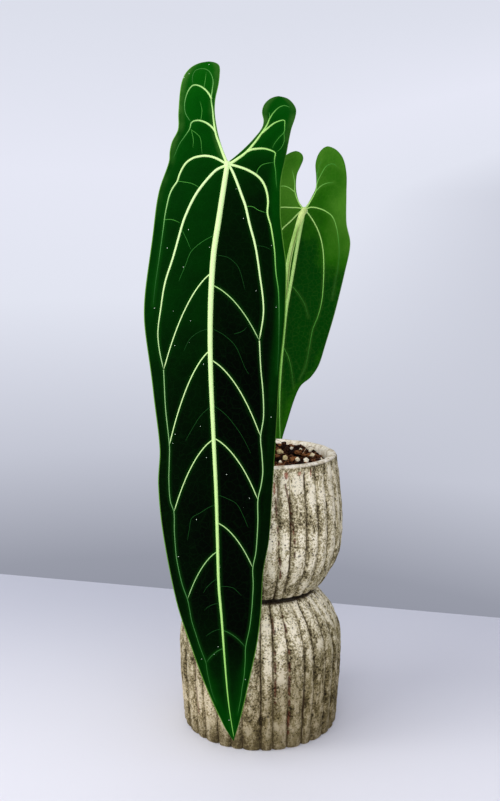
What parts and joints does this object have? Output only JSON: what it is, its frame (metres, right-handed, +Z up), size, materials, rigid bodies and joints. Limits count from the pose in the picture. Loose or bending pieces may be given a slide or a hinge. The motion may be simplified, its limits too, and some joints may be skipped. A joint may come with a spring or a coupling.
{
  "type": "potted queen anthurium",
  "caption": "Queen anthurium with long velvety heart-based leaves and pale raised veins, growing in bark mix in an hourglass pot of ribbed cement.",
  "frame": {"origin": "centre of the pot's foot, on the surface it stands on", "axes": "+Z up; the large leaf hangs on the -Y side, which is the side the picture is taken from; +X is to the right in the picture"},
  "size_m": [0.1605, 0.174, 0.5277],
  "materials": {
    "cement": "weathered cement with a pale wash, pitted, dark and rusty in the grooves",
    "bark_mix": "dark rough bark chips with pale pumice grains",
    "stem_bark": "dry papery sheaths over a ringed stem",
    "velvet_blade": "dark green velvet with a soft sheen",
    "pale_vein": "smooth pale green",
    "blade_underside": "smooth mid green with a waxy gloss",
    "green_petiole": "smooth grey green"
  },
  "bodies": {
    "root": {"pot": "cement", "potting_mix": "bark_mix", "stem_base": "stem_bark", "front_blade": "velvet_blade", "front_petiole_veins": "pale_vein", "back_blade": "blade_underside", "back_petiole_veins": "green_petiole"}
  },
  "joints": []
}
